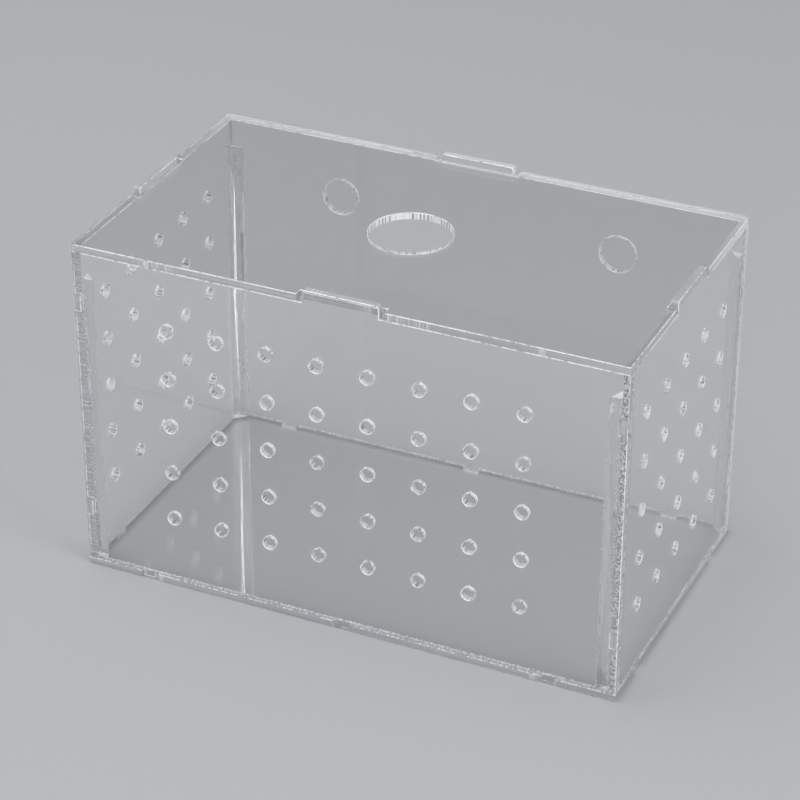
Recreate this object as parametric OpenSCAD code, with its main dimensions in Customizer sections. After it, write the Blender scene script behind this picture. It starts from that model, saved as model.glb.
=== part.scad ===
// Fish breeding box of clear laser-cut sheet, with a lift-off lid.
// Origin at the middle of the underside, X along the length, Y from front to back, Z up.

/* [Sheet] */
// Thickness of the clear sheet that every flat panel is cut from
sheet_t = 3; // [2:0.5:5]

/* [Box] */
// Outer length of the box, from left to right
box_l = 216; // [190:1:260]
// Outer width of the box, from front to back
box_w = 124; // [110:1:160]
// Height of the four walls, between the bottom panel and the lid
wall_h = 132; // [112:1:150]

/* [Lid seat] */
// Length of the tab at the middle of each wall's top edge
top_tab_l = 30; // [15:1:60]
// Height that these tabs stand above the lid
top_tab_proud = 2; // [1:0.5:5]
// Radius of their rounded upper corners
top_tab_r = 1.2; // [0.5:0.1:2]
// Play between each end of a tab and its notch in the lid
notch_end_play = 2; // [0.5:0.5:4]
// Play between a tab's inner face and its notch in the lid
notch_face_play = 0.4; // [0.1:0.1:1]
// Diameter of the finger hole in the lid
finger_hole_d = 32; // [20:1:50]
// Distance of the finger hole from the middle of the lid, towards the front
finger_hole_shift = 2; // [0:0.5:6]
// Radius of the lid's two back corners
lid_corner_r = 2.5; // [1:0.5:4]

/* [Glued joints] */
// Length of each small tab along its edge
small_tab_l = 6; // [4:0.5:10]
// Distance of the outer tabs from the middle of a long bottom edge
long_tab_offset = 82; // [50:1:84]
// Distance of the tabs from the middle of a short bottom edge
short_tab_offset = 40; // [20:1:44]
// Distance of the tabs from the middle of an upright edge
upright_tab_offset = 44; // [20:1:48]
// Glue gap at each end of a small tab
glue_gap = 0.1; // [0.05:0.05:0.3]

/* [Water holes] */
// Diameter of the small water holes
water_hole_d = 5.5; // [2:0.5:10]
// Distance between neighbouring water holes
hole_pitch = 20; // [12:0.5:20]
// Rows of water holes, one above the other
hole_rows = 5; // [1:1:5]
// Columns of water holes in the front panel
front_columns = 8; // [1:1:8]
// Columns of water holes in each side panel
side_columns = 5; // [1:1:5]
// Distance of the side panels' holes from the middle of the panel, towards the front
side_grid_shift = 2; // [0:0.5:4]

/* [Suction cup holes] */
// Diameter of the two holes that take a suction cup's neck
cup_hole_d = 15; // [6:0.5:20]
// Distance between the two holes
cup_hole_spacing = 116; // [60:1:160]
// Depth of their centres below the top edge of the back panel
cup_hole_drop = 24.5; // [15:0.5:40]

/* [Corner rods] */
// Width of the rods' two glued faces
rod_leg = 5; // [3:0.5:8]
// Depth of the rods' top ends below the top edge of the walls
rod_drop = 11; // [5:1:30]

/* [Hidden] */
$fn = 48;
clear_sheet = [0.80, 0.90, 0.93, 0.35];
clear_rod = [0.86, 0.92, 0.94, 0.55];

front = -1;
back = 1;
left = -1;
right = 1;

inner_l = box_l - 2 * sheet_t;
inner_w = box_w - 2 * sheet_t;
rod_h = wall_h - rod_drop;
top_tab_h = sheet_t + top_tab_proud;
notch_l = top_tab_l + 2 * notch_end_play;
notch_depth = sheet_t + notch_face_play;
slot_l = small_tab_l + 2 * glue_gap;
// Middle of a wall panel with its tabs, above the bottom panel: its holes and upright tabs lie about it
mid_h = (wall_h + top_tab_h - sheet_t) / 2;
// How far a tab's outline reaches back into its own panel
tab_root = 1;

long_tab_places = [-long_tab_offset, 0, long_tab_offset];
short_tab_places = [-short_tab_offset, short_tab_offset];
upright_tab_places = [mid_h - upright_tab_offset, mid_h + upright_tab_offset];

// Panels are drawn flat as they are cut: for a wall, X runs along it and Y runs up from the bottom panel.

// Tab that the lid drops over, standing on the line y = 0 with rounded upper corners
module top_tab() {
    translate([-top_tab_l / 2, -tab_root])
        square([top_tab_l, top_tab_h - top_tab_r + tab_root]);
    translate([top_tab_r - top_tab_l / 2, 0])
        square([top_tab_l - 2 * top_tab_r, top_tab_h]);
    for (side = [left, right])
        translate([side * (top_tab_l / 2 - top_tab_r), top_tab_h - top_tab_r])
            circle(r = top_tab_r);
}

// Small tabs that hang below the line y = 0, one at each place
module small_tabs(places) {
    for (x = places)
        translate([x - small_tab_l / 2, -sheet_t])
            square([small_tab_l, sheet_t + tab_root]);
}

// What a line of small tabs cuts out of the panel edge that lies on y = 0
module small_slots(places) {
    for (x = places)
        translate([x - slot_l / 2, -sheet_t])
            square([slot_l, 2 * sheet_t]);
}

// Regular grid of water holes about x = 0, at the middle height of a wall
module water_holes(columns) {
    for (column = [0 : columns - 1], row = [0 : hole_rows - 1])
        translate([
            (column - (columns - 1) / 2) * hole_pitch,
            mid_h + (row - (hole_rows - 1) / 2) * hole_pitch
        ])
            circle(d = water_hole_d);
}

// Front or back wall as cut: full length, with slots in its upright edges for the side walls' tabs
module long_wall_outline() {
    difference() {
        union() {
            translate([-box_l / 2, 0])
                square([box_l, wall_h]);
            translate([0, wall_h])
                top_tab();
            small_tabs(long_tab_places);
        }
        for (side = [left, right])
            translate([side * box_l / 2, 0])
                rotate(90)
                    small_slots(upright_tab_places);
    }
}

// Side wall as cut: it fits between the long walls, and its upright edges carry the tabs
module side_wall_outline() {
    translate([-inner_w / 2, 0])
        square([inner_w, wall_h]);
    translate([0, wall_h])
        top_tab();
    small_tabs(short_tab_places);
    translate([inner_w / 2, 0])
        rotate(90)
            small_tabs(upright_tab_places);
    mirror([1, 0])
        translate([inner_w / 2, 0])
            rotate(90)
                small_tabs(upright_tab_places);
}

// Stands a long wall up with its outer face at the front or the back of the box
module stand_long_wall(end) {
    translate([0, end * box_w / 2 + (end == front ? sheet_t : 0), sheet_t])
        rotate([90, 0, 0])
            linear_extrude(sheet_t)
                children();
}

// Stands a side wall up with its outer face at the left or the right of the box
module stand_side_wall(side) {
    translate([side * box_l / 2 - (side == right ? sheet_t : 0), 0, sheet_t])
        rotate([90, 0, 90])
            linear_extrude(sheet_t)
                children();
}

// Bottom panel: the walls stand on it, and their tabs fill the slots in its edges
module bottom_panel() {
    color(clear_sheet)
        linear_extrude(sheet_t)
            difference() {
                square([box_l, box_w], center = true);
                for (end = [front, back])
                    translate([0, end * box_w / 2])
                        small_slots(long_tab_places);
                for (side = [left, right])
                    translate([side * box_l / 2, 0])
                        rotate(90)
                            small_slots(short_tab_places);
            }
}

// Front panel with its grid of water holes
module front_panel() {
    color(clear_sheet)
        stand_long_wall(front)
            difference() {
                long_wall_outline();
                water_holes(front_columns);
            }
}

// Back panel, closed but for the two suction cup holes
module back_panel() {
    color(clear_sheet)
        stand_long_wall(back)
            difference() {
                long_wall_outline();
                for (side = [left, right])
                    translate([side * cup_hole_spacing / 2, wall_h - cup_hole_drop])
                        circle(d = cup_hole_d);
            }
}

// Left or right panel with its grid of water holes, set a little towards the front
module side_panel(side) {
    color(clear_sheet)
        stand_side_wall(side)
            difference() {
                side_wall_outline();
                translate([front * side_grid_shift, 0])
                    water_holes(side_columns);
            }
}

// The lid as a plain plate, with rounded back corners
module lid_outline() {
    translate([-box_l / 2, -box_w / 2])
        square([box_l, box_w - lid_corner_r]);
    translate([lid_corner_r - box_l / 2, -box_w / 2])
        square([box_l - 2 * lid_corner_r, box_w]);
    for (side = [left, right])
        translate([side * (box_l / 2 - lid_corner_r), box_w / 2 - lid_corner_r])
            circle(r = lid_corner_r);
}

// Flat lid that lies on the walls, with a notch over each top tab and a finger hole
module lid() {
    color(clear_sheet)
        translate([0, 0, sheet_t + wall_h])
            linear_extrude(sheet_t)
                difference() {
                    lid_outline();
                    for (end = [front, back])
                        translate([0, end * box_w / 2])
                            square([notch_l, 2 * notch_depth], center = true);
                    for (side = [left, right])
                        translate([side * box_l / 2, 0])
                            square([2 * notch_depth, notch_l], center = true);
                    translate([0, front * finger_hole_shift])
                        circle(d = finger_hole_d);
                }
}

// Three-sided rod glued into an upright corner of the box
module corner_rod(side, end) {
    color(clear_rod)
        translate([side * inner_l / 2, end * inner_w / 2, sheet_t])
            linear_extrude(rod_h)
                polygon([[0, 0], [-side * rod_leg, 0], [0, -end * rod_leg]]);
}

bottom_panel();
front_panel();
back_panel();
side_panel(left);  // left_panel
side_panel(right);  // right_panel
lid();
corner_rod(left, front);  // front_left_corner_rod
corner_rod(right, front);  // front_right_corner_rod
corner_rod(left, back);  // back_left_corner_rod
corner_rod(right, back);  // back_right_corner_rod
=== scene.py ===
"""Looks of a fish breeding box of clear laser-cut sheet, built round its fixed frame."""

import math
import random

import bmesh
import bpy
from bpy.props import FloatProperty, FloatVectorProperty, PointerProperty
from mathutils import Euler, Matrix, Vector


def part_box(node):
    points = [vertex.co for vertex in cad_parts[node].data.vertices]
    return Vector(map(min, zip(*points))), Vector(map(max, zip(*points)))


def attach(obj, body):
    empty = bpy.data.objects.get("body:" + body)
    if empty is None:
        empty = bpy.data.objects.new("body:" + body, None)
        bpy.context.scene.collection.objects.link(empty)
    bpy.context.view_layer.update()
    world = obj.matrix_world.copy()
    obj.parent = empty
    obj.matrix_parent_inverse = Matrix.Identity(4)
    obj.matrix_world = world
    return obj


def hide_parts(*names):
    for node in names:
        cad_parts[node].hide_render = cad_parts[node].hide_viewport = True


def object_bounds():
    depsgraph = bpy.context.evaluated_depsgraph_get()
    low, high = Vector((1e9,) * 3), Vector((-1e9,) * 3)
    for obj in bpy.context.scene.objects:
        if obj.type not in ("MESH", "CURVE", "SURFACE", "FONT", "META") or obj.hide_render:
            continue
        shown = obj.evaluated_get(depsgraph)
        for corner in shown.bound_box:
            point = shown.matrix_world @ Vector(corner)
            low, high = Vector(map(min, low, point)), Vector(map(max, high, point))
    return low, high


bl_info = {
    "name": "Clear breeding box",
    "version": (1, 0, 0),
    "blender": (4, 5, 0),
    "location": "3D View > Sidebar > Breeding Box",
    "description": "Clear sheets, corner rods and glue lines of a fish breeding box, with a plain studio",
    "category": "Add Mesh",
}

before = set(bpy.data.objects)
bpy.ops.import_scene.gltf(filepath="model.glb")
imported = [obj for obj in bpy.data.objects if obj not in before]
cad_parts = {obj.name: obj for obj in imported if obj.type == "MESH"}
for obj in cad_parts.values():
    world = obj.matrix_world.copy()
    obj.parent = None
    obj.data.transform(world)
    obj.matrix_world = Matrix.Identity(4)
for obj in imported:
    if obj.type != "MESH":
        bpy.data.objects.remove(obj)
cad_low, cad_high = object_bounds()

MM = 0.001
X, Y, Z = 0, 1, 2
# Direction in which each sheet is thin
THIN = {
    "bottom_panel": Z,
    "lid": Z,
    "front_panel": Y,
    "back_panel": Y,
    "left_panel": X,
    "right_panel": X,
}
# Material slots of a sheet and of a corner rod, in the order in which they are added
FACE, CUT, HOLE, ARRIS, GLUED = range(5)
ROD_SIDE, ROD_END, ROD_RIM = range(3)

WHITE = (1, 1, 1)
# How strongly clear acrylic bends light
ACRYLIC_IOR = 1.49
# Share of the light on a matt surface that comes through it from behind
GLOW = 0.22
# What is left of a lamp's light behind one face of a sheet, and behind one face of a rod
SHEET_SHADOW = (0.955, 0.96, 0.963)
ROD_SHADOW = (0.9, 0.905, 0.91)
# Scale of the laser's lines from front to back: below 1 they lie further apart there, as the photo shows
LONG_LINES = 0.1
# How white the cuts turn at the very back: a painted highlight for the light that glows through them from
# behind
BACK_HIGHLIGHT = 0.85
# Moves the patches of stripes on the lid's edges to where the photo shows them
LID_PATCHES = 6.547
# Holes wider than this have no nick
LARGEST_NICKED = 7 * MM
# Levels that differ by less count as one
SAME_LEVEL = 0.5 * MM
# Edges with a smaller angle between their faces are shaded round
ROUND_UP_TO = math.radians(32)
# Edges of a rod that rise by more than this run along it
ALONG_ROD = 10 * MM
# Rounding of a rod's long edges and of its sawn ends
ROD_ROUND = 0.25 * MM
ROD_END_ROUND = 0.2 * MM
# Distance of the tabs in an upright edge from the middle of the wall
TAB_OFFSET = 44 * MM
# Reach of the glue bubbles above and below the middle of such a tab
TAB_GLUE = 3 * MM
# Distance of the glue beads' middles from the sheets
BEAD_OFF = 0.25 * MM
# Least and most of a bead's half length, half thickness and gap, as shares of its row's size, size and gap
BEAD_LONG, BEAD_THICK, BEAD_GAP = (0.8, 2.6), (0.6, 1.0), (0.4, 1.6)
# Least and most half width of a glue bubble in millimetres, and half height as a share of that
BUBBLE_WIDE, BUBBLE_HIGH = (0.12, 0.3), (0.8, 2.2)
# Half the thickness of a bubble
BUBBLE_THIN = 0.02 * MM
# Seed of the first glue piece; each further piece has the next one
GLUE_SEED = 11
# Where the lamps point
LAMP_AIM = Vector((0, 0, 0.07))
# Camera fitted to the corners and water holes in the photo: metres, degrees and millimetres
CAMERA_PLACE = (0.386173, -0.859327, 0.618403)
CAMERA_TURN = (59.6167, -0.12579, 24.55451)
CAMERA_LENS = 130.332


class SheetFinish(bpy.types.PropertyGroup):
    """Colours and small sizes of the sheets, the rods and the glue"""

    face_tint: FloatVectorProperty(
        name="Face tint",
        description="Colour that light takes on through one polished sheet",
        subtype="COLOR",
        size=3,
        min=0,
        max=1,
        default=(0.982, 0.986, 0.988),
    )
    rod_tint: FloatVectorProperty(
        name="Rod tint",
        description="Colour that light takes on through a corner rod",
        subtype="COLOR",
        size=3,
        min=0,
        max=1,
        default=(0.915, 0.922, 0.93),
    )
    cut_pale: FloatVectorProperty(
        name="Pale cut",
        description="Colour of the pale stripes on the laser-cut edges",
        subtype="COLOR",
        size=3,
        min=0,
        max=1,
        default=(0.93, 0.94, 0.945),
    )
    cut_dark: FloatVectorProperty(
        name="Dark cut",
        description="Colour of the dark stripes on the laser-cut edges",
        subtype="COLOR",
        size=3,
        min=0,
        max=1,
        default=(0.33, 0.34, 0.355),
    )
    cut_middle: FloatVectorProperty(
        name="Middle cut",
        description="Colour of the smooth stretches of the laser-cut edges",
        subtype="COLOR",
        size=3,
        min=0,
        max=1,
        default=(0.42, 0.45, 0.485),
    )
    glue_wet: FloatVectorProperty(
        name="Wet glue",
        description="Colour of the spots where glue has filled the joint",
        subtype="COLOR",
        size=3,
        min=0,
        max=1,
        default=(0.2, 0.205, 0.215),
    )
    stripe: FloatProperty(
        name="Stripe",
        description="Width of one stripe that the laser leaves across the sheet",
        subtype="DISTANCE",
        unit="LENGTH",
        default=0.7 * MM,
        min=0.1 * MM,
        max=3 * MM,
    )
    arris: FloatProperty(
        name="Arris",
        description="Width of the melted rim between a face and a cut edge",
        subtype="DISTANCE",
        unit="LENGTH",
        default=0.28 * MM,
        min=0.05 * MM,
        max=0.5 * MM,
    )
    gap: FloatProperty(
        name="Joint gap",
        description="How far each piece stands back from its neighbour in a glued joint",
        subtype="DISTANCE",
        unit="LENGTH",
        default=0.02 * MM,
        min=0.005 * MM,
        max=0.1 * MM,
    )
    nick: FloatProperty(
        name="Nick",
        description="Depth of the nick where the laser starts each water hole",
        subtype="DISTANCE",
        unit="LENGTH",
        default=0.3 * MM,
        min=0,
        max=1 * MM,
    )


class Studio(bpy.types.PropertyGroup):
    """Floor, room and lamps"""

    floor_colour: FloatVectorProperty(
        name="Floor",
        description="Colour of the plain floor",
        subtype="COLOR",
        size=3,
        min=0,
        max=1,
        default=(0.49, 0.5, 0.51),
    )
    room_colour: FloatVectorProperty(
        name="Room",
        description="Colour of the room seen behind and in the clear sheets",
        subtype="COLOR",
        size=3,
        min=0,
        max=1,
        default=(0.45, 0.46, 0.47),
    )
    ceiling_colour: FloatVectorProperty(
        name="Ceiling",
        description="Colour of the dim ceiling that the level sheets mirror",
        subtype="COLOR",
        size=3,
        min=0,
        max=1,
        default=(0.1, 0.105, 0.11),
    )
    room_light: FloatProperty(
        name="Room light",
        description="Strength of the even light from all round",
        default=0.42,
        min=0,
        max=2,
    )
    key_power: FloatProperty(
        name="Key power",
        description="Power of the large lamp above the box, in watts",
        default=34,
        min=0,
        max=200,
    )
    right_power: FloatProperty(
        name="Right power",
        description="Power of the large lamp on the right, in watts",
        default=26,
        min=0,
        max=200,
    )
    front_power: FloatProperty(
        name="Front power",
        description="Power of the large lamp at the front, in watts",
        default=20,
        min=0,
        max=200,
    )


def link(tree, start, end):
    tree.links.new(start, end)


def new_material(name):
    """An empty node material; returns it with its tree and output node."""
    material = bpy.data.materials.new(name)
    material.use_nodes = True
    tree = material.node_tree
    tree.nodes.clear()
    return material, tree, tree.nodes.new("ShaderNodeOutputMaterial")


def object_place(tree):
    """Coordinates that stay with the piece."""
    return tree.nodes.new("ShaderNodeTexCoord").outputs["Object"]


def stretched(tree, scale, shift=0.0):
    """Object coordinates, each direction times its own scale; a direction with scale 0 drops out. The shift
    chooses another stretch of a pattern along X."""
    mapping = tree.nodes.new("ShaderNodeMapping")
    mapping.inputs["Scale"].default_value = scale
    mapping.inputs["Location"].default_value = (shift, 0, 0)
    link(tree, object_place(tree), mapping.inputs["Vector"])
    return mapping.outputs["Vector"]


def noise(tree, vector, scale, detail=2.0):
    node = tree.nodes.new("ShaderNodeTexNoise")
    node.inputs["Scale"].default_value = scale
    node.inputs["Detail"].default_value = detail
    link(tree, vector, node.inputs["Vector"])
    return node.outputs["Fac"]


def ramp(tree, factor, *stops):
    """A colour ramp with stops of (position, colour)."""
    node = tree.nodes.new("ShaderNodeValToRGB")
    band = node.color_ramp
    while len(band.elements) < len(stops):
        band.elements.new(0.5)
    for element, (position, colour) in zip(band.elements, stops):
        element.position = position
        element.color = (*colour, 1)
    link(tree, factor, node.inputs["Fac"])
    return node.outputs["Color"]


def between(tree, factor, low, high, from_low=0.3, from_high=0.7):
    """Spreads the factor's range from from_low to from_high over the range from low to high."""
    node = tree.nodes.new("ShaderNodeMapRange")
    node.inputs["From Min"].default_value = from_low
    node.inputs["From Max"].default_value = from_high
    node.inputs["To Min"].default_value = low
    node.inputs["To Max"].default_value = high
    link(tree, factor, node.inputs["Value"])
    return node.outputs["Result"]


def bump(tree, height, strength, distance):
    node = tree.nodes.new("ShaderNodeBump")
    node.inputs["Strength"].default_value = strength
    node.inputs["Distance"].default_value = distance
    link(tree, height, node.inputs["Height"])
    return node.outputs["Normal"]


def let_lamps_through(tree, output, shader, tint):
    """Joins the shader to the output so that lamps and soft light reach what is behind, a little dimmed."""
    path = tree.nodes.new("ShaderNodeLightPath")
    clear = tree.nodes.new("ShaderNodeBsdfTransparent")
    clear.inputs["Color"].default_value = (*tint, 1)
    for ray in ("Is Diffuse Ray", "Is Shadow Ray"):
        mix = tree.nodes.new("ShaderNodeMixShader")
        link(tree, path.outputs[ray], mix.inputs["Fac"])
        link(tree, shader, mix.inputs[1])
        link(tree, clear.outputs["BSDF"], mix.inputs[2])
        shader = mix.outputs["Shader"]
    link(tree, shader, output.inputs["Surface"])


def polished_face(name, tint, shadow_tint):
    """Clear sheet as it comes from the maker: smooth, with faint wipe marks and a slight wave."""
    material, tree, output = new_material(name)
    glass = tree.nodes.new("ShaderNodeBsdfPrincipled")
    glass.inputs["Base Color"].default_value = (*tint, 1)
    glass.inputs["IOR"].default_value = ACRYLIC_IOR
    glass.inputs["Transmission Weight"].default_value = 1.0
    place = object_place(tree)
    wipe = noise(tree, place, 60, 6)
    link(tree, between(tree, wipe, 0.0, 0.03, 0.45, 0.75), glass.inputs["Roughness"])
    wave = noise(tree, place, 18, 1)
    link(tree, bump(tree, wave, 0.05, 0.2 * MM), glass.inputs["Normal"])
    let_lamps_through(tree, output, glass.outputs["BSDF"], shadow_tint)
    return material


def blend(tree, factor, first, second):
    """Mixes two colours, each a socket or plain numbers."""
    node = tree.nodes.new("ShaderNodeMix")
    node.data_type = "RGBA"
    for value, name, kind in ((factor, "Factor", "VALUE"), (first, "A", "RGBA"), (second, "B", "RGBA")):
        socket = next(i for i in node.inputs if i.name == name and i.type == kind)
        if isinstance(value, bpy.types.NodeSocket):
            link(tree, value, socket)
        else:
            socket.default_value = value if kind == "VALUE" else (*value, 1)
    return next(o for o in node.outputs if o.type == "RGBA")


def frosted(name, clear):
    """A Principled shader for a matt or cloudy surface, with a little glow of the light from behind it."""
    material, tree, output = new_material(name)
    frost = tree.nodes.new("ShaderNodeBsdfPrincipled")
    frost.inputs["IOR"].default_value = ACRYLIC_IOR
    frost.inputs["Transmission Weight"].default_value = clear
    through = tree.nodes.new("ShaderNodeBsdfTranslucent")
    through.inputs["Color"].default_value = (1, 1, 1, 1)
    mix = tree.nodes.new("ShaderNodeMixShader")
    mix.inputs["Fac"].default_value = GLOW
    link(tree, frost.outputs["BSDF"], mix.inputs[1])
    link(tree, through.outputs["BSDF"], mix.inputs[2])
    link(tree, mix.outputs["Shader"], output.inputs["Surface"])
    return material, tree, frost


def across_sheet(tree, thin, front_to_back=1.0, shift=0.0):
    """Coordinates for lines straight across a sheet's cut edges. A front_to_back below 1 spreads the lines on
    the cuts that run from front to back."""
    scale = [1.0, front_to_back, 1.0]
    scale[thin] = 0.0
    return stretched(tree, scale, shift)


def painted_back_highlight(tree):
    """Painted highlight: whitens the cuts from 0 at the middle of the box to the full share at its back,
    where the photo's cuts are whiter.
    """
    split = tree.nodes.new("ShaderNodeSeparateXYZ")
    link(tree, object_place(tree), split.inputs["Vector"])
    return between(tree, split.outputs["Y"], 0.0, BACK_HIGHLIGHT, 0.0, cad_high.y)


def cut_edge(name, finish, thin, striped, shift):
    """Laser-cut edge: grey and satin, with fine lines straight across the sheet that come and go along it,
    and a painted highlight that whitens it towards the back.
    """
    material, tree, frost = frosted(name, 0.15)
    across = across_sheet(tree, thin, LONG_LINES)
    stripes = noise(tree, across, 1.0 / finish.stripe, 3)
    lines = ramp(tree, stripes, (0.34, finish.cut_dark), (0.47, finish.cut_middle), (0.62, finish.cut_pale))
    patches = noise(tree, across_sheet(tree, thin, LONG_LINES, shift), 40, 1)
    strong = between(tree, patches, 0.04, striped, 0.55, 0.63)
    body = blend(tree, strong, finish.cut_middle, lines)
    blocks = between(tree, noise(tree, across, 140, 1), 0.0, 0.6, 0.66, 0.7)
    body = blend(tree, blocks, body, finish.cut_pale)
    # Painted highlight: the cut colour is blended towards white at the back of the box
    body = blend(tree, painted_back_highlight(tree), body, WHITE)
    along = noise(tree, stretched(tree, [1.0 if axis == thin else 0.01 for axis in (X, Y, Z)]), 1300, 1)
    streak = ramp(tree, along, (0.35, finish.cut_dark), (0.6, finish.cut_pale))
    link(tree, blend(tree, 0.22, body, streak), frost.inputs["Base Color"])
    frost.inputs["Roughness"].default_value = 0.3
    ridges = bump(tree, stripes, 0.35, 0.05 * MM)
    link(tree, between(tree, strong, 0.0, 0.35, 0.0, 1.0), ridges.node.inputs["Strength"])
    link(tree, ridges, frost.inputs["Normal"])
    return material


def hole_wall(name, finish, thin):
    """Wall of a cut hole: pale and satin, beaded by short lines across the sheet."""
    material, tree, frost = frosted(name, 0.08)
    beads = noise(tree, across_sheet(tree, thin), 0.85 / finish.stripe, 2)
    shades = ramp(tree, beads, (0.4, finish.cut_dark), (0.47, finish.cut_pale), (0.6, WHITE))
    link(tree, shades, frost.inputs["Base Color"])
    link(tree, between(tree, beads, 0.12, 0.3), frost.inputs["Roughness"])
    link(tree, bump(tree, beads, 0.4, 0.06 * MM), frost.inputs["Normal"])
    return material


def sawn_end(name, finish):
    """Sawn end of a rod: matt and almost white, with the saw's fine scratches."""
    material, tree, frost = frosted(name, 0.05)
    saw = noise(tree, stretched(tree, (300, 4000, 300)), 1, 2)
    link(tree, ramp(tree, saw, (0.3, finish.cut_pale), (0.5, WHITE)), frost.inputs["Base Color"])
    link(tree, bump(tree, saw, 0.4, 0.03 * MM), frost.inputs["Normal"])
    frost.inputs["Roughness"].default_value = 0.45
    return material


def glued_edge(name, finish, thin, bubbly):
    """Cut edge in a glued joint: the stripes show through, broken by white bubbles and wet spots."""
    material, tree, frost = frosted(name, 0.1)
    stripes = noise(tree, across_sheet(tree, thin), 1.2 / finish.stripe, 3)
    bubbles = noise(tree, object_place(tree), 1100, 2)
    lines = ramp(tree, stripes, (0.33, finish.cut_dark), (0.5, finish.cut_middle), (0.66, finish.cut_pale))
    spots = ramp(tree, bubbles, (0.4, finish.glue_wet), (0.5, finish.cut_middle), (0.56, WHITE))
    link(tree, blend(tree, bubbly, lines, spots), frost.inputs["Base Color"])
    link(tree, between(tree, bubbles, 0.2, 0.5), frost.inputs["Roughness"])
    link(tree, bump(tree, stripes, 0.4, 0.08 * MM), frost.inputs["Normal"])
    return material


def melted_rim(name, finish, dashed=False):
    """Melted rim of a cut: glossy and almost white, a little uneven, or broken into dashes by glue."""
    material, tree, rim = frosted(name, 0.05)
    place = object_place(tree)
    if dashed:
        lumps = noise(tree, place, 800, 1)
        colour = ramp(tree, lumps, (0.44, finish.cut_middle), (0.52, WHITE))
    else:
        lumps = noise(tree, place, 500, 2)
        bright = ramp(tree, lumps, (0.32, finish.cut_middle), (0.47, WHITE))
        dull = ramp(tree, lumps, (0.35, finish.cut_dark), (0.6, finish.cut_pale))
        stretch = between(tree, noise(tree, place, 45, 1), 0.0, 1.0, 0.38, 0.5)
        colour = blend(tree, stretch, dull, bright)
    link(tree, colour, rim.inputs["Base Color"])
    link(tree, between(tree, lumps, 0.15, 0.35), rim.inputs["Roughness"])
    link(tree, bump(tree, lumps, 0.3, 0.05 * MM), rim.inputs["Normal"])
    return material


def dried_glue(name, finish):
    """Solvent glue that was pressed out of a joint and dried white."""
    material, tree, glue = frosted(name, 0.25)
    cloud = noise(tree, object_place(tree), 900, 2)
    link(tree, ramp(tree, cloud, (0.3, finish.cut_pale), (0.5, WHITE)), glue.inputs["Base Color"])
    link(tree, between(tree, cloud, 0.08, 0.25), glue.inputs["Roughness"])
    return material


def cad_copy(node):
    """A bmesh with the named CAD solid, its loose triangles merged."""
    bm = bmesh.new()
    bm.from_mesh(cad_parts[node].data)
    bmesh.ops.remove_doubles(bm, verts=bm.verts, dist=0.001 * MM)
    bm.normal_update()
    return bm


def stand_back(bm, gap):
    """Draws a piece in by gap on every side, so that glued pieces don't share a face."""
    low = Vector([min(v.co[axis] for v in bm.verts) for axis in (X, Y, Z)])
    high = Vector([max(v.co[axis] for v in bm.verts) for axis in (X, Y, Z)])
    centre = (low + high) / 2
    size = high - low
    bmesh.ops.translate(bm, verts=bm.verts, vec=-centre)
    bmesh.ops.scale(bm, verts=bm.verts, vec=[(s - 2 * gap) / s for s in size])
    bmesh.ops.translate(bm, verts=bm.verts, vec=centre)
    bm.normal_update()


def only(kind, geometry):
    """Those of a mixed list that are of one kind, such as bmesh.types.BMEdge."""
    return [item for item in geometry if isinstance(item, kind)]


def in_a_face(edge, thin):
    """True for an edge that lies in one of the sheet's two faces."""
    return abs(edge.verts[0].co[thin] - edge.verts[1].co[thin]) < 0.1 * MM


def open_faces(bm, thin):
    """Takes the two flat faces off a sheet and leaves the walls of its cuts, flat stretches merged."""
    flat = [f for f in bm.faces if abs(f.normal[thin]) > 0.5]
    bmesh.ops.delete(bm, geom=flat, context="FACES_ONLY")
    loose = [e for e in bm.edges if not e.link_faces]
    bmesh.ops.delete(bm, geom=loose, context="EDGES")
    bmesh.ops.dissolve_limit(bm, angle_limit=math.radians(1), verts=bm.verts, edges=bm.edges)
    bm.normal_update()


def cut_rings(bm):
    """The walls of each cut, one list of faces for each: the outline first and then the holes."""
    seen = set()
    rings = []
    for first in bm.faces:
        if first in seen:
            continue
        seen.add(first)
        ring = [first]
        for face in ring:
            for edge in face.edges:
                for other in edge.link_faces:
                    if other not in seen:
                        seen.add(other)
                        ring.append(other)
        rings.append(ring)
    return sorted(rings, key=lambda ring: -ring_size(ring))


def ring_verts(ring):
    return list(dict.fromkeys(v for f in ring for v in f.verts))


def ring_size(ring):
    """Largest extent of a ring along X, Y or Z."""
    spots = [v.co for v in ring_verts(ring)]
    return max((max(s[axis] for s in spots) - min(s[axis] for s in spots)) for axis in (X, Y, Z))


def round_holes(bm, thin, rim):
    """Gives each hole twice the sides and lays them on a true circle, which the rim widens again."""
    walls = [face for ring in cut_rings(bm)[1:] for face in ring]
    rims = dict.fromkeys(e for face in walls for e in face.edges if in_a_face(e, thin))
    bmesh.ops.subdivide_edges(bm, edges=list(rims), cuts=1, use_grid_fill=True)
    for ring in cut_rings(bm)[1:]:
        verts = ring_verts(ring)
        centre = sum((v.co for v in verts), Vector()) / len(verts)
        spokes = []
        for vert in verts:
            spoke = vert.co - centre
            spoke[thin] = 0
            spokes.append(spoke)
        radius = max(spoke.length for spoke in spokes) - rim
        for vert, spoke in zip(verts, spokes):
            vert.co += spoke * (radius / spoke.length - 1)
    bm.normal_update()


def nick_holes(bm, thin, depth, largest):
    """Draws the top of each small hole out to a small point: the mark where its cut began."""
    for ring in cut_rings(bm)[1:]:
        if ring_size(ring) > largest:
            continue
        verts = ring_verts(ring)
        top = max(verts, key=lambda v: v.co.z).co.copy()
        for vert in verts:
            off = (vert.co - top) * Vector([0 if axis == thin else 1 for axis in (X, Y, Z)])
            vert.co.z += depth * max(0.0, 1 - off.length / depth)
    bm.normal_update()


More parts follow.
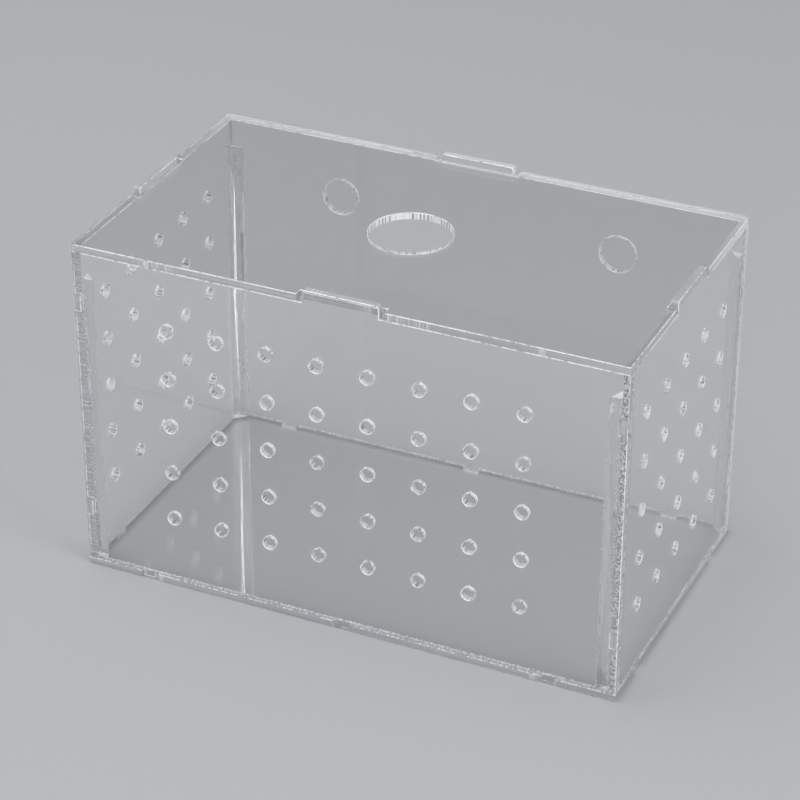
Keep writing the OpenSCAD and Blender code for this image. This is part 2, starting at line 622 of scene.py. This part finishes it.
def fill_flat(bm, edges, facing):
    """Fills a flat outline with its holes. The sheet is turned and enlarged first, because a fill with small
    holes that lie exactly level with each other can go wrong, and another angle is tried if one does."""
    for angle in (17, 31, 47, 63):
        turn = Matrix.Rotation(math.radians(angle), 4, facing) @ Matrix.Scale(1 / MM, 4)
        bmesh.ops.transform(bm, verts=bm.verts, matrix=turn)
        made = bmesh.ops.triangle_fill(
            bm, edges=edges, use_beauty=False, use_dissolve=False, normal=facing
        )["geom"]
        bmesh.ops.transform(bm, verts=bm.verts, matrix=turn.inverted())
        if all(e.is_manifold for e in (*edges, *only(bmesh.types.BMEdge, made))):
            return
        bmesh.ops.delete(bm, geom=only(bmesh.types.BMFace, made), context="FACES_ONLY")
        bmesh.ops.delete(bm, geom=[e for e in bm.edges if e.is_wire], context="EDGES")
    raise RuntimeError("a flat face could not be filled")


def close_faces(bm, thin, width):
    """Puts the flat faces back with a narrow slanted rim, the arris, along every cut."""
    walls = set(bm.faces)
    middle = sum(v.co[thin] for v in bm.verts) / len(bm.verts)
    for way in (-1, 1):
        rim = [e for e in bm.edges if e.is_boundary and all((v.co[thin] - middle) * way > 0 for v in e.verts)]
        made = bmesh.ops.extrude_edge_only(bm, edges=rim)["geom"]
        for vert in only(bmesh.types.BMVert, made):
            beside = [e.other_vert(vert) for e in vert.link_edges]
            old = next(other for other in beside if (other.co - vert.co).length == 0)
            normals = [f.normal for f in old.link_faces if f in walls]
            total = sum(normals, Vector())
            inward = -total / (1 + normals[0].dot(normals[-1])) if len(normals) == 2 else -total
            inward[thin] = 0
            vert.co += inward * width
            old.co[thin] -= way * width
        edges = only(bmesh.types.BMEdge, made)
        facing = Vector([way if axis == thin else 0 for axis in (X, Y, Z)])
        level = edges[0].verts[0].co[thin]
        fill_flat(bm, edges, facing)
        for vert in dict.fromkeys(v for e in edges for v in e.verts):
            vert.co[thin] = level
    bmesh.ops.recalc_face_normals(bm, faces=bm.faces)
    bm.normal_update()
    if any(not e.is_manifold for e in bm.edges):
        raise RuntimeError("a sheet is not closed")


def finish_piece(bm, name, node, body, materials):
    """Makes the bmesh an object that rides on its body and stands for its CAD node, where it has one."""
    mesh = bpy.data.meshes.new(name)
    for edge in bm.edges:
        edge.smooth = edge.is_manifold and edge.calc_face_angle() < ROUND_UP_TO
    for face in bm.faces:
        face.smooth = node not in THIN or face.material_index != FACE
    bm.to_mesh(mesh)
    bm.free()
    piece = bpy.data.objects.new(name, mesh)
    bpy.context.scene.collection.objects.link(piece)
    for material in materials:
        mesh.materials.append(material)
    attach(piece, body)
    if node:
        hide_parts(node)
    return piece


def dress_sheet(node, name, body, glued, bubbly=0.3, striped=1.0, shift=0.0, dashed=False):
    """Makes a sheet from its CAD node: polished faces, striped cuts, bright rims and glued edges.

    glued tells which faces of the outline lie in a glued joint, and bubbly how much of the glue there shows
    as spots. striped is the strength of the stripes on the other cuts, and shift moves their patches along X.
    dashed breaks the rims up.
    """
    finish = bpy.context.scene.sheet_finish
    thin = THIN[node]
    bm = cad_copy(node)
    stand_back(bm, finish.gap)
    open_faces(bm, thin)
    round_holes(bm, thin, finish.arris)
    nick_holes(bm, thin, finish.nick, LARGEST_NICKED)
    rings = cut_rings(bm)
    for face in rings[0]:
        face.material_index = GLUED if glued(face) else CUT
    for ring in rings[1:]:
        for face in ring:
            face.material_index = HOLE
    walls = {f for ring in rings for f in ring}
    close_faces(bm, thin, finish.arris)
    for face in bm.faces:
        if face not in walls:
            beside = [other for edge in face.edges for other in edge.link_faces if other in walls]
            rim = GLUED if any(other.material_index == GLUED for other in beside) else ARRIS
            face.material_index = FACE if abs(face.normal[thin]) > 0.99 else rim
    letter = "xyz"[thin]
    tint = tuple(finish.face_tint)
    cut_name = f"laser cut {letter} {striped:g} {shift:g}"
    materials = [
        stock("polished face", lambda n: polished_face(n, tint, SHEET_SHADOW)),
        stock(cut_name, lambda n: cut_edge(n, finish, thin, striped, shift)),
        stock("hole wall " + letter, lambda n: hole_wall(n, finish, thin)),
        stock("dashed rim" if dashed else "melted rim", lambda n: melted_rim(n, finish, dashed)),
        stock(f"glued cut {letter} {bubbly:g}", lambda n: glued_edge(n, finish, thin, bubbly)),
    ]
    return finish_piece(bm, name, node, body, materials)


def stock(name, make):
    """The material of that name, made on first use."""
    return bpy.data.materials.get(name) or make(name)


class BREEDBOX_OT_bottom(bpy.types.Operator):
    """Bottom sheet, with slots in its edges for the walls' tabs"""

    bl_idname = "breedbox.bottom"
    bl_label = "Bottom sheet"

    def execute(self, context):
        dress_sheet(
            "bottom_panel",
            "bottom_sheet",
            "box",
            lambda face: False,
            striped=0.15,
            dashed=True,
        )
        return {"FINISHED"}


class BREEDBOX_OT_long_walls(bpy.types.Operator):
    """Front and back sheets, glued down on the bottom sheet"""

    bl_idname = "breedbox.long_walls"
    bl_label = "Front and back sheets"

    def execute(self, context):
        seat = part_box("bottom_panel")[1].z

        def on_bottom(face):
            return face.normal.z < -0.9 and abs(face.calc_center_median().z - seat) < SAME_LEVEL

        dress_sheet("front_panel", "front_sheet", "box", on_bottom)
        dress_sheet("back_panel", "back_sheet", "box", on_bottom)
        return {"FINISHED"}


class BREEDBOX_OT_side_walls(bpy.types.Operator):
    """Left and right sheets, glued between the long walls and down on the bottom sheet"""

    bl_idname = "breedbox.side_walls"
    bl_label = "Left and right sheets"

    def execute(self, context):
        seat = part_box("bottom_panel")[1].z
        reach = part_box("front_panel")[1].y

        def in_joint(face):
            middle = face.calc_center_median()
            low = face.normal.z < -0.9 and abs(middle.z - seat) < SAME_LEVEL
            end = abs(face.normal.y) > 0.9 and abs(abs(middle.y) - abs(reach)) < SAME_LEVEL
            return low or end

        dress_sheet("left_panel", "left_sheet", "box", in_joint, bubbly=0.15)
        dress_sheet("right_panel", "right_sheet", "box", in_joint, bubbly=0.85)
        return {"FINISHED"}


class BREEDBOX_OT_lid(bpy.types.Operator):
    """Loose lid with its notches and finger hole"""

    bl_idname = "breedbox.lid"
    bl_label = "Lid"

    def execute(self, context):
        dress_sheet("lid", "lid_sheet", "lid", lambda face: False, shift=LID_PATCHES)
        return {"FINISHED"}


def bevel(bm, edges, width, segments):
    """Rounds the edges off and gives back the new faces."""
    made = bmesh.ops.bevel(
        bm,
        geom=edges,
        offset=width,
        offset_type="OFFSET",
        affect="EDGES",
        segments=segments,
        profile=0.5,
        material=-1,
    )
    bm.normal_update()
    return made["faces"]


class BREEDBOX_OT_rods(bpy.types.Operator):
    """Three-sided corner rods, clear along their length and frosted at their cut ends"""

    bl_idname = "breedbox.rods"
    bl_label = "Corner rods"

    def execute(self, context):
        finish = context.scene.sheet_finish
        tint = tuple(finish.rod_tint)
        for end in ("front", "back"):
            for side in ("left", "right"):
                node = f"{end}_{side}_corner_rod"
                bm = cad_copy(node)
                stand_back(bm, 2 * finish.gap)
                upright = [e for e in bm.edges if abs((e.verts[0].co - e.verts[1].co).z) > ALONG_ROD]
                bevel(bm, upright, ROD_ROUND, 4)
                ends = [f for f in bm.faces if abs(f.normal.z) > 0.9]
                rims = bevel(bm, list(dict.fromkeys(e for f in ends for e in f.edges)), ROD_END_ROUND, 1)
                for face in bm.faces:
                    flat_end = abs(face.normal.z) > 0.9
                    face.material_index = ROD_RIM if face in rims else ROD_END if flat_end else ROD_SIDE
                materials = [
                    stock("polished rod", lambda n: polished_face(n, tint, ROD_SHADOW)),
                    stock("sawn rod end", lambda n: sawn_end(n, finish)),
                    stock("melted rim", lambda n: melted_rim(n, finish)),
                ]
                finish_piece(bm, f"{end}_{side}_rod", node, "box", materials)
        return {"FINISHED"}


def lay_beads(bm, start, end, step, size, share, chance):
    """Puts small long beads of glue along a line, leaving out all but the given share of them."""
    line = Vector(end) - Vector(start)
    turn = line.to_track_quat("X", "Z").to_matrix().to_4x4()
    place = 0.0
    while place < line.length:
        long = size * chance.uniform(*BEAD_LONG)
        if chance.random() < share:
            middle = Vector(start) + line.normalized() * (place + long)
            made = bmesh.ops.create_icosphere(bm, subdivisions=1, radius=1)["verts"]
            thick = size * chance.uniform(*BEAD_THICK)
            bmesh.ops.scale(bm, verts=made, vec=(long, thick, thick))
            bmesh.ops.transform(bm, verts=made, matrix=Matrix.Translation(middle) @ turn)
        place += 2 * long + step * chance.uniform(*BEAD_GAP)


def lay_bubbles(bm, low, high, count, scale, thin, chance):
    """Strews flat bubbles of the glue film over a narrow strip between two glued faces."""
    for _ in range(count):
        middle = Vector([chance.uniform(a, b) for a, b in zip(low, high)])
        made = bmesh.ops.create_icosphere(bm, subdivisions=1, radius=1)["verts"]
        wide = scale * chance.uniform(*BUBBLE_WIDE) * MM
        size = Vector([wide, wide, wide * chance.uniform(*BUBBLE_HIGH)])
        size[thin] = BUBBLE_THIN
        bmesh.ops.scale(bm, verts=made, vec=size)
        bmesh.ops.translate(bm, verts=made, vec=middle)


class BREEDBOX_OT_glue(bpy.types.Operator):
    """Beads of dried glue along the inner corners, where it was pressed out of the joints"""

    bl_idname = "breedbox.glue"
    bl_label = "Glue beads"

    def execute(self, context):
        finish = context.scene.sheet_finish
        rod_low, rod_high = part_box("front_right_corner_rod")
        leg = rod_high.x - rod_low.x
        top = rod_high.z
        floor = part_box("bottom_panel")[1].z + BEAD_OFF
        inner_x, inner_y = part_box("right_panel")[0].x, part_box("back_panel")[0].y
        x, y = inner_x - BEAD_OFF, inner_y - BEAD_OFF
        # Each row of beads: start, end, gap and size in millimetres, share of the beads that are there
        rows = {
            "front_glue": [((-x + leg, -y, floor), (x - leg, -y, floor), 0.6, 0.3, 0.85)],
            "back_glue": [((-x + leg, y, floor), (x - leg, y, floor), 2.0, 0.18, 0.5)],
            "left_glue": [((-x, -y + leg, floor), (-x, y - leg, floor), 3.0, 0.18, 0.4)],
            "right_glue": [((x, -y + leg, floor), (x, y - leg, floor), 1.0, 0.2, 0.7)],
            "front_right_glue": [
                ((x - leg, -y, floor), (x - leg, -y, top - 12 * MM), 0.7, 0.25, 0.8),
                ((x, leg - y, floor), (x, leg - y, top - 30 * MM), 1.5, 0.18, 0.5),
            ],
            "back_left_glue": [((leg - x, y, floor), (leg - x, y, top), 4.0, 0.18, 0.4)],
        }
        # Just inside the rod, behind its gap to the sheet
        film = 4 * finish.gap
        film_x, film_y = film - inner_x, film - inner_y
        wall_low, wall_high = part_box("left_panel")
        middle = (wall_low.z + wall_high.z) / 2
        # Each strip of bubbles: low corner, high corner, number, scale, direction in which it is thin
        strips = {
            "back_left_glue": [
                (
                    (film_x, inner_y - 4 * MM, tab - TAB_GLUE),
                    (film_x, inner_y - MM, tab + TAB_GLUE),
                    26,
                    2.6,
                    X,
                )
                for tab in (middle - TAB_OFFSET, middle + TAB_OFFSET)
            ],
            "front_right_glue": [
                ((inner_x - 1.3 * MM, film_y, floor), (inner_x - 0.3 * MM, film_y, top), 170, 1, Y),
            ],
            "front_left_glue": [
                ((0.3 * MM - inner_x, film_y, floor), (1.4 * MM - inner_x, film_y, top), 60, 1, Y),
            ],
        }
        glue = stock("dried glue", lambda n: dried_glue(n, finish))
        for number, name in enumerate(sorted({*rows, *strips})):
            bm = bmesh.new()
            chance = random.Random(GLUE_SEED + number)
            for start, end, step, size, share in rows.get(name, ()):
                lay_beads(bm, start, end, step * MM, size * MM, share, chance)
            for low, high, count, scale, thin in strips.get(name, ()):
                lay_bubbles(bm, low, high, count, scale, thin, chance)
            finish_piece(bm, name, None, "box", [glue])
        return {"FINISHED"}


class BREEDBOX_OT_stage(bpy.types.Operator):
    """Plain pale floor, soft lamps and the camera"""

    bl_idname = "breedbox.stage"
    bl_label = "Stage"

    def execute(self, context):
        studio = context.scene.breedbox_studio
        lay_floor(studio)
        light_room(studio)
        hang_lamp("key_lamp", place=(-0.8, -0.4, 2.4), size=2.4, power=studio.key_power)
        hang_lamp("right_lamp", place=(2.3, -0.7, 1.1), size=1.4, power=studio.right_power)
        hang_lamp("front_lamp", place=(0.2, -2.4, 1.0), size=1.4, power=studio.front_power)
        place_camera()
        cycles = context.scene.cycles
        cycles.max_bounces = 32
        cycles.glossy_bounces = 16
        cycles.transmission_bounces = 28
        cycles.transparent_max_bounces = 48
        context.scene.view_settings.view_transform = "Standard"
        return {"FINISHED"}


def lay_floor(studio):
    """A wide plain floor, matt and very faintly grained."""
    bm = bmesh.new()
    bmesh.ops.create_grid(bm, x_segments=1, y_segments=1, size=6)
    mesh = bpy.data.meshes.new("floor")
    bm.to_mesh(mesh)
    bm.free()
    floor = bpy.data.objects.new("floor", mesh)
    bpy.context.scene.collection.objects.link(floor)
    material, tree, output = new_material("plain floor")
    paint = tree.nodes.new("ShaderNodeBsdfPrincipled")
    paint.inputs["Roughness"].default_value = 0.85
    paint.inputs["Specular IOR Level"].default_value = 0.15
    grain = noise(tree, object_place(tree), 400, 4)
    colour = Vector(studio.floor_colour)
    link(tree, ramp(tree, grain, (0.3, colour * 0.985), (0.7, colour)), paint.inputs["Base Color"])
    link(tree, paint.outputs["BSDF"], output.inputs["Surface"])
    mesh.materials.append(material)


def either(tree, first, second):
    """The larger of two sockets' values: 1 where one of them is 1."""
    node = tree.nodes.new("ShaderNodeMath")
    node.operation = "MAXIMUM"
    link(tree, first, node.inputs[0])
    link(tree, second, node.inputs[1])
    return node.outputs["Value"]


def light_room(studio):
    """Even light from all round, and the room's own colour where it is seen directly or in the sheets."""
    world = bpy.data.worlds.new("room")
    bpy.context.scene.world = world
    world.use_nodes = True
    tree = world.node_tree
    tree.nodes.clear()
    output = tree.nodes.new("ShaderNodeOutputWorld")
    light = tree.nodes.new("ShaderNodeBackground")
    light.inputs["Strength"].default_value = studio.room_light
    seen = tree.nodes.new("ShaderNodeBackground")
    rays = tree.nodes.new("ShaderNodeLightPath").outputs
    mirrored = either(tree, rays["Is Camera Ray"], rays["Is Glossy Ray"])
    shown = either(tree, mirrored, rays["Is Transmission Ray"])
    way = tree.nodes.new("ShaderNodeSeparateXYZ")
    link(tree, tree.nodes.new("ShaderNodeTexCoord").outputs["Generated"], way.inputs["Vector"])
    height = between(tree, way.outputs["Z"], 0.0, 1.0, 0.02, 0.4)
    colour = ramp(tree, height, (0.0, studio.room_colour), (1.0, studio.ceiling_colour))
    link(tree, colour, seen.inputs["Color"])
    mix = tree.nodes.new("ShaderNodeMixShader")
    link(tree, shown, mix.inputs["Fac"])
    link(tree, light.outputs["Background"], mix.inputs[1])
    link(tree, seen.outputs["Background"], mix.inputs[2])
    link(tree, mix.outputs["Shader"], output.inputs["Surface"])


def hang_lamp(name, place, size, power):
    """A square lamp that points at the middle of the box."""
    lamp = bpy.data.lights.new(name, "AREA")
    lamp.shape = "SQUARE"
    lamp.size = size
    lamp.energy = power
    holder = bpy.data.objects.new(name, lamp)
    bpy.context.scene.collection.objects.link(holder)
    holder.location = place
    holder.rotation_euler = (LAMP_AIM - Vector(place)).to_track_quat("-Z", "Y").to_euler()


def place_camera():
    """Stands in front, to the right and above, and looks down on the box by thirty degrees."""
    lens = bpy.data.cameras.new("camera")
    lens.lens = CAMERA_LENS
    lens.clip_start = 0.05
    lens.clip_end = 50
    camera = bpy.data.objects.new("camera", lens)
    bpy.context.scene.collection.objects.link(camera)
    camera.location = CAMERA_PLACE
    camera.rotation_euler = Euler([math.radians(a) for a in CAMERA_TURN], "XYZ")
    bpy.context.scene.camera = camera


class BREEDBOX_PT_panel(bpy.types.Panel):
    """Lists the sizes, the finishes and the pieces of the box"""

    bl_idname = "BREEDBOX_PT_panel"
    bl_label = "Breeding box"
    bl_space_type = "VIEW_3D"
    bl_region_type = "UI"
    bl_category = "Breeding Box"

    def draw(self, context):
        for group in (context.scene.sheet_finish, context.scene.breedbox_studio):
            column = self.layout.column()
            for name in group.bl_rna.properties.keys():
                if name not in ("rna_type", "name"):
                    column.prop(group, name)
        for operator in OPERATORS:
            self.layout.operator(operator.bl_idname)


OPERATORS = (
    BREEDBOX_OT_bottom,
    BREEDBOX_OT_long_walls,
    BREEDBOX_OT_side_walls,
    BREEDBOX_OT_lid,
    BREEDBOX_OT_rods,
    BREEDBOX_OT_glue,
    BREEDBOX_OT_stage,
)
GROUPS = (SheetFinish, Studio)


def register():
    for item in (*GROUPS, *OPERATORS, BREEDBOX_PT_panel):
        bpy.utils.register_class(item)
    bpy.types.Scene.sheet_finish = PointerProperty(type=SheetFinish)
    bpy.types.Scene.breedbox_studio = PointerProperty(type=Studio)


def unregister():
    del bpy.types.Scene.breedbox_studio
    del bpy.types.Scene.sheet_finish
    for item in reversed((*GROUPS, *OPERATORS, BREEDBOX_PT_panel)):
        bpy.utils.unregister_class(item)


def main():
    register()
    bpy.ops.breedbox.bottom()
    bpy.ops.breedbox.long_walls()
    bpy.ops.breedbox.side_walls()
    bpy.ops.breedbox.lid()
    bpy.ops.breedbox.rods()
    bpy.ops.breedbox.glue()
    bpy.ops.breedbox.stage()


if __name__ == "__main__":
    main()
